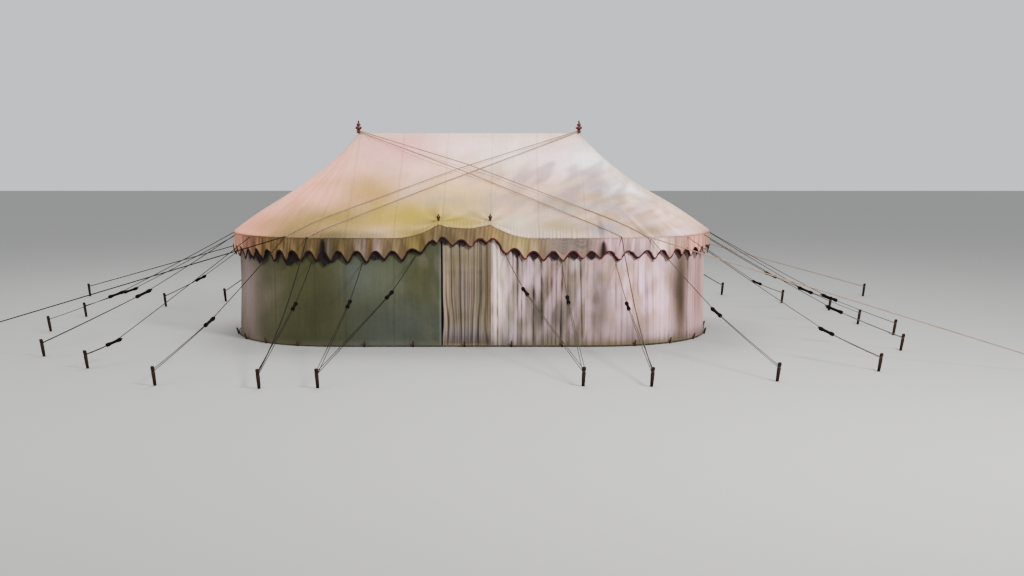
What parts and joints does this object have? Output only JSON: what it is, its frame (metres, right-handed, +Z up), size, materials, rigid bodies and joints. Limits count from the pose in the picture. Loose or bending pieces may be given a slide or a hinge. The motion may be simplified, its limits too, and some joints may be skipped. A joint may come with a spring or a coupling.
{
  "type": "campaign marquee tent",
  "caption": "Officer's campaign marquee: linen roof with rounded ends on poles and a ridge, scalloped valance, walls, door curtain, guys and stakes.",
  "frame": {"origin": "on the ground, midway between the two main poles", "axes": "+X along the ridge, -Y out of the side with the door, +Z up"},
  "size_m": [14.0974, 10.828, 3.098],
  "materials": {
    "roof_linen": "plain-woven natural linen, matte",
    "wall_linen": "plain-woven natural linen, matte, creased",
    "curtain_linen": "plain-woven natural linen, gathered",
    "valance_linen": "tan linen with a dark red bound edge",
    "pole_wood": "planed pale wood, oiled",
    "finial_wood": "turned wood painted dark red, satin",
    "hemp_rope": "laid hemp rope",
    "stake_wood": "hewn dark wood, for stakes, pegs and guy sliders"
  },
  "bodies": {
    "root": {"door_curtain": "curtain_linen", "door_finial_left": "finial_wood", "door_finial_right": "finial_wood", "door_pole_left": "pole_wood", "door_pole_right": "pole_wood", "foot_rope_back": "stake_wood", "foot_rope_front": "stake_wood", "guy_back_left_corner": "hemp_rope", "guy_back_left_inner": "hemp_rope", "guy_back_right_corner": "hemp_rope", "guy_back_right_inner": "hemp_rope", "guy_front_left_corner": "hemp_rope", "guy_front_left_door": "hemp_rope", "guy_front_right_corner": "hemp_rope", "guy_front_right_door": "hemp_rope", "guy_left_end_1": "hemp_rope", "guy_left_end_2": "hemp_rope", "guy_left_end_3": "hemp_rope", "guy_left_end_4": "hemp_rope", "guy_left_end_5": "hemp_rope", "guy_left_end_6": "hemp_rope", "guy_left_end_7": "hemp_rope", "guy_right_end_1": "hemp_rope", "guy_right_end_2": "hemp_rope", "guy_right_end_3": "hemp_rope", "guy_right_end_4": "hemp_rope", "guy_right_end_5": "hemp_rope", "guy_right_end_6": "hemp_rope", "guy_right_end_7": "hemp_rope", "guy_right_end_8": "hemp_rope", "main_pole_left": "pole_wood", "main_pole_right": "pole_wood", "ridge_finial_left": "finial_wood", "ridge_finial_right": "finial_wood", "ridge_pole": "pole_wood", "roof_back_slope": "roof_linen", "roof_front_slope": "roof_linen", "roof_left_hood": "roof_linen", "roof_right_hood": "roof_linen", "storm_rope_back_left": "hemp_rope", "storm_rope_back_right": "hemp_rope", "storm_rope_front_left": "hemp_rope", "storm_rope_front_right": "hemp_rope", "valance_back": "valance_linen", "valance_front": "valance_linen", "wall_back": "wall_linen", "wall_front_left": "wall_linen", "wall_front_right": "wall_linen", "wall_left_end": "wall_linen", "wall_right_end": "wall_linen"}
  },
  "joints": []
}
